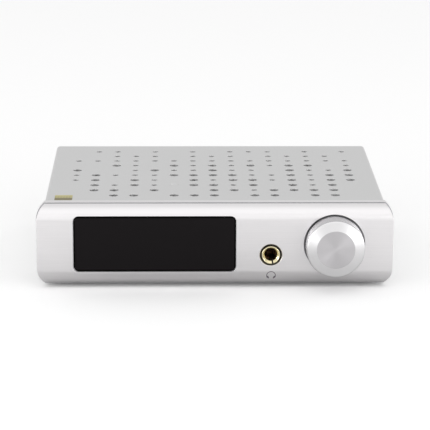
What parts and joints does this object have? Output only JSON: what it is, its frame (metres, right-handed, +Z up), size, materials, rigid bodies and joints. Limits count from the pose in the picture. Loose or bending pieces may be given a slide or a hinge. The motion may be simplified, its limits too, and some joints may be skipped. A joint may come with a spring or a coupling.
{
  "type": "headphone amplifier",
  "caption": "Desktop headphone amplifier with a wide display window, a plug socket, a turning and pressing volume knob, a vented case, and sockets and a rocker switch at the back.",
  "frame": {"origin": "centre of the bounding box in plan, on the surface that the feet stand on", "axes": "+Z up, +X to the right seen from the front, +Y towards the back"},
  "size_m": [0.19, 0.1524, 0.0466],
  "materials": {
    "brushed_aluminium": "fine brushed, clear anodised",
    "turned_aluminium": "turned, clear anodised",
    "blasted_aluminium": "bead blasted, clear anodised",
    "black_anodised": "black anodised",
    "black_acrylic": "polished",
    "black_plastic": "moulded, satin",
    "red_plastic": "moulded",
    "white_plastic": "moulded",
    "orange_plastic": "moulded",
    "cream_plastic": "moulded",
    "capacitor_sleeve": "printed sleeve, blank",
    "circuit_board": "solder mask",
    "plated_brass": "bright plated",
    "spring_steel": "bright",
    "screw_steel": "zinc plated",
    "stamped_steel": "nickel plated",
    "ferrite": "matte",
    "foot_rubber": "matte",
    "gold_foil": "metallised foil"
  },
  "bodies": {
    "chassis": {"front_panel": "brushed_aluminium", "display_window": "black_acrylic", "display_module": "black_plastic", "front_board": "circuit_board", "jack_sleeve": "plated_brass", "jack_body": "black_plastic", "jack_spring": "spring_steel", "encoder_bushing": "plated_brass", "encoder_nut": "screw_steel", "encoder_body": "stamped_steel", "top_cover": "blasted_aluminium", "bottom_plate": "blasted_aluminium", "rear_panel": "blasted_aluminium", "foot_front_left": "foot_rubber", "foot_screw_front_left": "screw_steel", "cover_screw_front_left": "screw_steel", "standoff_front_left": "plated_brass", "foot_front_right": "foot_rubber", "foot_screw_front_right": "screw_steel", "cover_screw_front_right": "screw_steel", "standoff_front_right": "plated_brass", "foot_back_left": "foot_rubber", "foot_screw_back_left": "screw_steel", "cover_screw_back_left": "screw_steel", "standoff_back_left": "plated_brass", "foot_back_right": "foot_rubber", "foot_screw_back_right": "screw_steel", "cover_screw_back_right": "screw_steel", "standoff_back_right": "plated_brass", "rear_screw_low_left": "screw_steel", "rear_screw_low_right": "screw_steel", "rear_screw_high_left": "screw_steel", "rear_screw_high_right": "screw_steel", "phono_shell_1": "stamped_steel", "phono_insulator_1": "red_plastic", "phono_shell_2": "stamped_steel", "phono_insulator_2": "white_plastic", "phono_shell_3": "stamped_steel", "phono_insulator_3": "orange_plastic", "usb_socket": "stamped_steel", "power_inlet": "black_plastic", "switch_housing": "black_plastic", "main_board": "circuit_board", "heatsink": "black_anodised", "relay": "cream_plastic", "ribbon_cable": "cream_plastic", "foil_label": "gold_foil", "capacitor_1": "capacitor_sleeve", "capacitor_2": "capacitor_sleeve", "capacitor_3": "capacitor_sleeve", "capacitor_4": "capacitor_sleeve", "inductor_1": "ferrite", "inductor_2": "ferrite"},
    "knob": {"volume_knob": "turned_aluminium", "knob_grub_screw": "screw_steel", "encoder_shaft": "stamped_steel"},
    "plunger": {"encoder_plunger": "black_plastic"},
    "rocker": {"switch_rocker": "black_plastic"}
  },
  "joints": [
    {"name": "knob_press", "type": "slide", "parent": "chassis", "child": "plunger", "axis": [0, 1, 0], "range_m": [0, 0.0005], "stiffness_N_per_m": 4000, "springref_m": -0.0004},
    {"name": "knob_turn", "type": "hinge", "parent": "plunger", "child": "knob", "pos_m": [0.0634, -0.065, 0.0249], "axis": [0, 1, 0], "continuous": true},
    {"name": "rocker_tip", "type": "hinge", "parent": "chassis", "child": "rocker", "pos_m": [-0.062, 0.065, 0.024], "axis": [0, 0, 1], "range_deg": [-16, 0]}
  ]
}
